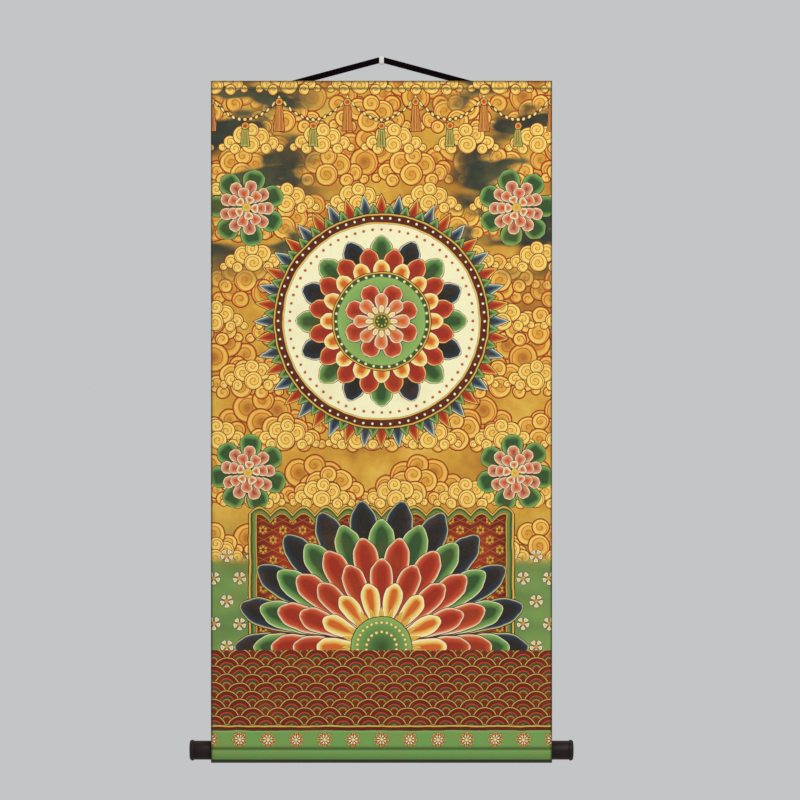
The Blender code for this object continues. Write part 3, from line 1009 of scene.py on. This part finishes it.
def cloth_end():
    """Faces that close an end of the cloth from its print to its reverse, as columns of its section."""
    last = CLOTH_COLUMNS
    back = last + RIM_STEPS
    ends = [(k, k + 1, back + last - k - 1, back + last - k) for k in range(last)]
    return ends + [tuple(range(last, back + 1)), (*range(back + last, back + last + RIM_STEPS), 0)]


def build_cloth(material, unevenness):
    """The cloth as one closed sheet along its path, with its printed face outside."""
    ring = cloth_section()
    around = ring + [(*ring[0][:2], BAKE_LAST)]
    drops = [run - CLOTH_RUN[TOP_FOLD] for run in CLOTH_RUN]
    bakes = [BAKE_TOP - BAKE_HEIGHT * run / CLOTH_RUN[-1] for run in CLOTH_RUN]
    rows = []
    for i, (y, z) in enumerate(CLOTH_PATH):
        way = heading_at(CLOTH_PATH, i)
        out, up = math.sin(way) * HALF_CLOTH, -math.cos(way) * HALF_CLOTH
        rows.append([(x, y + hang(x, z, unevenness) + out * side, z + up * side) for x, side, _ in ring])
    shape = bmesh.new()
    reverse = shape.faces.layers.float.new("reverse")
    rings = loft(shape, rows, {
        "cloth": lambda row, column: (around[column][0], drops[row]),
        "OFBake": lambda row, column: (around[column][2], bakes[row]),
    })
    backs = range(CLOTH_COLUMNS + RIM_STEPS, len(ring) - RIM_STEPS)
    for number, face in enumerate(shape.faces):
        face[reverse] = float(number % len(ring) in backs)
    cloth_map, bake_map = (shape.loops.layers.uv[name] for name in ("cloth", "OFBake"))
    for row, strip in ((0, BAKE_LAST), (len(rows) - 1, BAKE_FOOT_STRIP)):
        for corners in cloth_end():
            face = shape.faces.new([rings[row][column] for column in corners])
            face[reverse] = 1.0
            for loop, column in zip(face.loops, corners):
                x, side, _ = ring[column]
                loop[cloth_map].uv = (x, drops[row])
                loop[bake_map].uv = (
                    0.5 + BAKE_STRIP_STRETCH * x, strip - BAKE_STRIP_HEIGHT * (1 - side) / 2)
    return finish_loft(shape, "printed_cloth", material)


def ribbon_path():
    """The ribbon's middle line from end to end, as (x, z) points, and its slope."""
    slope = math.atan2(-CLOTH_TOP, RIBBON_FOOT_X)
    for _ in range(20):
        start_x = RIBBON_FLAT_HALF + RIBBON_BEND_RADIUS * math.sin(slope)
        start_z = -RIBBON_BEND_RADIUS * (1 - math.cos(slope))
        slope = math.atan2(start_z - CLOTH_TOP, RIBBON_FOOT_X - start_x)
    centre = (RIBBON_FLAT_HALF, -RIBBON_BEND_RADIUS)
    right = arc(centre, RIBBON_BEND_RADIUS, math.pi / 2, math.pi / 2 - slope, 8)
    right.append(below_fold(RIBBON_HIDDEN, slope))
    return divided([(-x, z) for x, z in reversed(right)] + right, BRAID_STATION), slope


def below_fold(reach, slope):
    """The place on the ribbon's right side, as (x, z), that far past the cloth's top fold."""
    return RIBBON_FOOT_X + reach * math.cos(slope), CLOTH_TOP - reach * math.sin(slope)


def braid_ring(along, total):
    """One station of the flat braid: strands that cross from edge to edge, on an oval core."""
    ring = []
    whole = ease(min(along, total - along) / 0.0012) * 0.35 + 0.65
    for k in range(BRAID_POINTS):
        turn = FULL_TURN * k / BRAID_POINTS
        up = math.copysign(abs(math.sin(turn)) ** 0.85, math.sin(turn))
        out = math.copysign(abs(math.cos(turn)) ** 0.45, math.cos(turn))
        lean = abs(up) * RIBBON_WIDTH / 2 * (1.0 if out > 0 else -1.0)
        strand = abs(math.sin(math.pi * (along + lean) / BRAID_PITCH))
        sunk = BRAID_RELIEF * (1 - strand ** 0.6)
        seam = BRAID_RELIEF * 0.8 * math.exp(-(up * 9) ** 2)
        half_out = RIBBON_THICKNESS / 2 - (sunk + seam) * min(1.0, abs(out) * 1.2)
        half_up = RIBBON_WIDTH / 2 + BRAID_SPREAD - sunk * 0.5
        ring.append((out * half_out * whole, up * half_up * (0.5 + whole / 2)))
    return ring


def build_ribbon(path, material):
    """The braid as a closed tube along its path in an upright plane."""
    along = lengths(path)
    rows = []
    for i, (x, z) in enumerate(path):
        way = heading_at(path, i)
        rows.append([
            (x - math.sin(way) * up, RIBBON_Y - out, z + math.cos(way) * up)
            for out, up in braid_ring(along[i], along[-1])
        ])
    shape = bmesh.new()
    rings = loft(shape, rows, {
        "braid": lambda row, column: (along[row], 2 * RIBBON_WIDTH * column / BRAID_POINTS),
    })
    braid_map = shape.loops.layers.uv["braid"]
    for ring in (rings[0], rings[-1]):
        for loop in shape.faces.new(ring).loops:
            loop[braid_map].uv = loop.vert.co.xz
    return finish_loft(shape, "braided_ribbon", material)


def knob_profile():
    """A knob's outline from its spigot to its end, as (along, radius) on the roller's axis."""
    start, end = ROLLER_HIGH.x + GAP, KNOB_HIGH.x
    lip = end - KNOB_LIP_LENGTH
    rise = KNOB_LIP_RADIUS - KNOB_RADIUS
    rounding = KNOB_LIP_RADIUS - KNOB_END_RADIUS
    return [
        (start - SPIGOT_LENGTH, SPIGOT_RADIUS - 0.001),
        (start - SPIGOT_LENGTH + 0.001, SPIGOT_RADIUS),
        (start, SPIGOT_RADIUS),
        (start, KNOB_RADIUS - 0.0005),
        (start + 0.0002, KNOB_RADIUS - 0.0001),
        (start + 0.0006, KNOB_RADIUS),
        (lip - 0.0003, KNOB_RADIUS),
        (lip, KNOB_RADIUS - 0.00015),
        *[(lip + rise * 1.4 * i / 8, KNOB_RADIUS + rise * math.sin(math.pi / 2 * i / 8)) for i in range(9)],
        *arc((end - KNOB_DOME - rounding, KNOB_END_RADIUS), rounding, math.pi / 2, 0.0, 12),
        (end - KNOB_DOME * 0.45, KNOB_END_RADIUS * 0.7),
        (end - KNOB_DOME * 0.1, KNOB_END_RADIUS * 0.3),
        (end, 0.0002),
    ]


def build_knob():
    """The right knob, turned ring by ring from a disc at its spigot's tip."""
    profile = knob_profile()
    deselect()
    bpy.ops.mesh.primitive_circle_add(
        vertices=96, radius=profile[0][1], fill_type="NGON",
        location=(profile[0][0], ROLLER_Y, ROLLER_Z), rotation=(0.0, math.pi / 2, 0.0),
    )
    knob = bpy.context.object
    bpy.ops.object.transform_apply()
    edit_faces(knob, lambda face: True)
    for (start, radius), (along, new_radius) in zip(profile, profile[1:]):
        extrude(along - start, 0.0, 0.0)
        share = new_radius / radius
        bpy.ops.transform.resize(value=(1.0, share, share), center_override=(along, ROLLER_Y, ROLLER_Z))
    bpy.ops.mesh.merge(type="CENTER")
    leave_edit()
    return knob


def build_hook():
    """The hook bent from one flat strip: leg at the back, arm, and lip."""
    half = HOOK_THICKNESS / 2
    bend_z = -RIBBON_WIDTH / 2 - GAP - half + HOOK_BEND_RADIUS
    leg = HOOK_HIGH.z - bend_z
    back_bend, lip_bend = -half - HOOK_BEND_RADIUS, HOOK_LOW.y + half + HOOK_BEND_RADIUS
    deselect()
    bpy.ops.mesh.primitive_cube_add(size=1.0, location=(0.0, -half, bend_z + leg / 2))
    hook = bpy.context.object
    hook.scale = (HOOK_WIDTH, HOOK_THICKNESS, leg)
    bpy.ops.object.transform_apply()
    edit_faces(hook, lambda face: face.normal.z < -0.9)
    for bend_y, straight in ((back_bend, (0.0, lip_bend - back_bend, 0.0)), (lip_bend, (0.0, 0.0, leg))):
        bpy.ops.mesh.spin(steps=8, angle=math.pi / 2, center=(0.0, bend_y, bend_z), axis=(1.0, 0.0, 0.0))
        extrude(*straight)
    bpy.ops.mesh.select_all(action="SELECT")
    bpy.ops.mesh.remove_doubles(threshold=0.00001)
    leave_edit()
    modify(
        hook, "rolled edges", "BEVEL", width=0.0005, segments=4, limit_method="ANGLE",
        angle_limit=math.radians(50),
    )
    return hook


def build_stitches(length, pitch, count, place, rotation):
    """A row of sewn stitches, made along X and turned about its middle; their ends bow down towards +Y."""
    deselect()
    bpy.ops.mesh.primitive_cylinder_add(
        vertices=8, radius=THREAD_RADIUS, depth=length * 0.5,
        location=(-pitch * (count - 1) / 2, 0.0, 0.0), rotation=(0.0, math.pi / 2, 0.0),
    )
    row = bpy.context.object
    bpy.ops.object.transform_apply()
    for way in (1, -1):
        edit_faces(row, lambda face: face.normal.x * way > 0.9)
        for step, sink, share in ((0.15, 0.00006, 0.95), (0.10, 0.00016, 0.7)):
            extrude(way * length * step, sink, 0.0)
            bpy.ops.transform.resize(value=(1.0, share, share))
        bpy.ops.object.mode_set(mode="OBJECT")
    modify(
        row, "row", "ARRAY", count=count, use_relative_offset=False, use_constant_offset=True,
        constant_offset_displace=(pitch, 0.0, 0.0),
    )
    row.rotation_euler = rotation
    row.location = place
    bpy.ops.object.transform_apply()
    return row


def build_tack(way, slope):
    """The rows of stitches that tack one end of the ribbon, at the right where way is 1 and left at -1."""
    rows = []
    for inset in TACK_INSETS:
        x, z = below_fold(RIBBON_HIDDEN - inset, slope)
        place = (way * x, RIBBON_HIGH.y + THREAD_RADIUS * 0.3, z)
        rotation = (0.0, way * slope - math.pi / 2, math.pi)
        rows.append(build_stitches(TACK_LENGTH, TACK_PITCH, 3, place, rotation))
    for row in rows:
        row.select_set(True)
    bpy.ops.object.join()
    return bpy.context.object


# ---- Settings ----


def colour_setting(name, description, *channels):
    """A colour that a user may change, whose default is given as sRGB channels."""
    return FloatVectorProperty(
        name=name, description=description, default=srgb(*channels), subtype="COLOR", size=4, min=0.0, max=1.0
    )


class ScrollClothSettings(PropertyGroup):
    """The printed cloth."""

    unevenness: FloatProperty(
        name="Unevenness", description="How far the hanging sheet stands off its flat plane",
        default=0.00045, min=0.0, max=0.002, unit="LENGTH", precision=5,
    )
    # Colour of the painted shade along the top fold
    top_fold_shade: colour_setting("Top edge", "Colour along the top fold", 62, 34, 22)
    # Colour of the painted shade along the two side edges
    side_edge_shade: colour_setting("Side edge", "Colour along the two sides", 34, 24, 14)
    # Colour of the painted shade on the cloth's underside round the roller
    foot_shade: colour_setting("Foot", "Colour of the cloth round the roller", 58, 62, 44)


class ScrollTrimSettings(PropertyGroup):
    """Braid, threads, knobs, wood and hook."""

    braid: colour_setting("Braid", "Colour of the hanging ribbon's threads", 10, 3, 5)
    thread: colour_setting("Thread", "Colour of the sewing thread", 168, 128, 76)
    lacquer: colour_setting("Knobs", "Colour of the knobs' dark lacquer", 34, 21, 20)
    light_grain: colour_setting("Light grain", "Colour of the wood", 200, 162, 112)
    dark_grain: colour_setting("Dark grain", "Colour of the wood's darker grain", 150, 108, 66)
    enamel: colour_setting("Hook", "Colour of the hook's enamel", 208, 202, 197)


class ScrollStageSettings(PropertyGroup):
    """Floor, backdrop and the main light."""

    floor: colour_setting("Floor", "Colour of the floor", 206, 206, 204)
    backdrop: colour_setting("Backdrop", "Colour of the surroundings", 196, 197, 198)
    floor_height: FloatProperty(
        name="Floor height", description="Height of the floor below the hook",
        default=-1.9, min=-4.0, max=-1.0, unit="LENGTH",
    )
    key_power: FloatProperty(
        name="Main light", description="Power of the large soft light in front",
        default=95.0, min=0.0, max=1000.0, unit="POWER",
    )


# ---- Operators ----


class SCROLL_OT_cloth(Operator):
    """Build the printed cloth, with its sleeve, seam and wrap"""

    bl_idname = "scroll.cloth"
    bl_label = "Cloth"

    def execute(self, context):
        settings = context.scene.scroll_cloth
        cloth = build_cloth(cloth_material(settings), settings.unevenness)
        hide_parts("picture_cloth")
        return {"FINISHED"}


class SCROLL_OT_stitches(Operator):
    """Sew the sleeve's seam and the ribbon's two ends"""

    bl_idname = "scroll.stitches"
    bl_label = "Stitches"

    def execute(self, context):
        thread = thread_material(context.scene.scroll_trim)
        count = int(2 * (HALF_WIDTH - SEAM_END_GAP) / STITCH_PITCH)
        front = (0.0, FRONT_Y + SEAM_DEPTH - THREAD_RADIUS * 0.5, SEAM_Z)
        back = (0.0, SLEEVE_FLAP_Y + HALF_CLOTH + THREAD_RADIUS * 0.5, SEAM_Z - BACK_STITCH_DROP)
        for side, place, turn in (("front", front, 0.0), ("back", back, math.pi)):
            row = build_stitches(STITCH_LENGTH, STITCH_PITCH, count, place, (0.0, 0.0, turn))
            settle(row, f"seam_stitches_{side}", thread)
        _, slope = ribbon_path()
        for side, way in (("right", 1), ("left", -1)):
            settle(build_tack(way, slope), f"ribbon_tack_{side}", thread)
        return {"FINISHED"}


class SCROLL_OT_ribbon(Operator):
    """Braid the ribbon that hangs over the hook"""

    bl_idname = "scroll.ribbon"
    bl_label = "Hanging ribbon"

    def execute(self, context):
        path, _ = ribbon_path()
        ribbon = build_ribbon(path, braid_material(context.scene.scroll_trim))
        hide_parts("hanging_ribbon")
        line = [(x, RIBBON_Y, z) for x, z in path]
        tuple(line[-1])
        lengths(path)[-1]
        return {"FINISHED"}


class SCROLL_OT_knobs(Operator):
    """Turn the two end knobs"""

    bl_idname = "scroll.knobs"
    bl_label = "Knobs"

    def execute(self, context):
        lacquer = knob_material(context.scene.scroll_trim)
        right = build_knob()
        activate(right)
        bpy.ops.object.duplicate()
        left = bpy.context.object
        bpy.ops.transform.rotate(value=math.pi, orient_axis="Z", center_override=(0.0, ROLLER_Y, ROLLER_Z))
        for side, knob in (("right", right), ("left", left)):
            settle(knob, f"turned_knob_{side}", lacquer, 30.0)
            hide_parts(f"roller_knob_{side}")
        return {"FINISHED"}


class SCROLL_OT_wood(Operator):
    """Give the roller and the lath their wood"""

    bl_idname = "scroll.wood"
    bl_label = "Roller and lath"

    def execute(self, context):
        wood = wood_material(context.scene.scroll_trim)
        for node in ("bottom_roller", "top_batten"):
            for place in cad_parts[node].material_slots:
                place.material = wood
        return {"FINISHED"}


class SCROLL_OT_hook(Operator):
    """Bend the small hook"""

    bl_idname = "scroll.hook"
    bl_label = "Hook"

    def execute(self, context):
        hook = build_hook()
        enamel = enamel_material(context.scene.scroll_trim)
        settle(hook, "enamel_hook", enamel, 30.0)
        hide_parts("wall_hook")
        return {"FINISHED"}


def add_item(name, data, place, rotation):
    """Put a light or a camera in the scene."""
    item = bpy.data.objects.new(name, data)
    item.location = place
    item.rotation_euler = rotation
    bpy.context.scene.collection.objects.link(item)
    return item


class SCROLL_OT_stage(Operator):
    """Set the floor, the light and the camera"""

    bl_idname = "scroll.stage"
    bl_label = "Stage"

    def execute(self, context):
        settings = context.scene.scroll_stage
        deselect()
        bpy.ops.mesh.primitive_plane_add(size=7.0, location=(0.0, 0.0, settings.floor_height))
        floor = bpy.context.object
        floor.name = "floor"
        bpy.ops.object.transform_apply()
        floor.data.materials.append(floor_material(settings))
        world = context.scene.world = bpy.data.worlds.new("soft surroundings")
        world.use_nodes = True
        world.node_tree.nodes["Background"].inputs["Color"].default_value = settings.backdrop

        lamp = bpy.data.lights.new("main light", "AREA")
        lamp.shape = "RECTANGLE"
        lamp.size = 2.4
        lamp.size_y = 1.8
        lamp.energy = settings.key_power
        place = Vector((1.5, -3.4, 1.6))
        middle = Vector((0.0, 0.0, (CAD_BOX[0].z + CAD_BOX[1].z) / 2))
        add_item("main light", lamp, place, (middle - place).to_track_quat("-Z", "Y").to_euler())

        lens = bpy.data.cameras.new("camera")
        lens.lens = LENS
        lens.sensor_width = SENSOR
        lens.clip_end = 50.0
        place = (
            (PIXELS / 2 - CLOTH_MIDDLE_PIXEL) * MM_PER_PIXEL / MM,
            FRONT_Y - PIXELS * MM_PER_PIXEL / MM * LENS / SENSOR,
            -(PIXELS / 2 - HOOK_PIXEL) * MM_PER_PIXEL / MM,
        )
        context.scene.camera = add_item("camera", lens, place, (math.pi / 2, 0.0, 0.0))
        context.scene.view_settings.view_transform = "Standard"
        return {"FINISHED"}


STEPS = (
    SCROLL_OT_cloth, SCROLL_OT_ribbon, SCROLL_OT_stitches, SCROLL_OT_knobs, SCROLL_OT_wood, SCROLL_OT_hook,
    SCROLL_OT_stage,
)
GROUPS = {
    "scroll_cloth": ScrollClothSettings,
    "scroll_trim": ScrollTrimSettings,
    "scroll_stage": ScrollStageSettings,
}


class SCROLL_PT_panel(Panel):
    """The scroll's pieces and settings"""

    bl_idname = "SCROLL_PT_panel"
    bl_label = "Picture Scroll"
    bl_space_type = "VIEW_3D"
    bl_region_type = "UI"
    bl_category = "Scroll"

    def draw(self, context):
        for step in STEPS:
            self.layout.operator(step.bl_idname)
        for name, group in GROUPS.items():
            box = self.layout.box()
            for setting in group.__annotations__:
                box.prop(getattr(context.scene, name), setting)


def register():
    """Register the settings, the operators and the panel."""
    for name, group in GROUPS.items():
        bpy.utils.register_class(group)
        setattr(bpy.types.Scene, name, PointerProperty(type=group))
    for step in (*STEPS, SCROLL_PT_panel):
        bpy.utils.register_class(step)


def unregister():
    """Take them out again."""
    for step in (SCROLL_PT_panel, *reversed(STEPS)):
        bpy.utils.unregister_class(step)
    for name, group in GROUPS.items():
        delattr(bpy.types.Scene, name)
        bpy.utils.unregister_class(group)


def main():
    """Build every piece in order."""
    register()
    for step in STEPS:
        group, name = step.bl_idname.split(".")
        getattr(getattr(bpy.ops, group), name)()


if __name__ == "__main__":
    main()
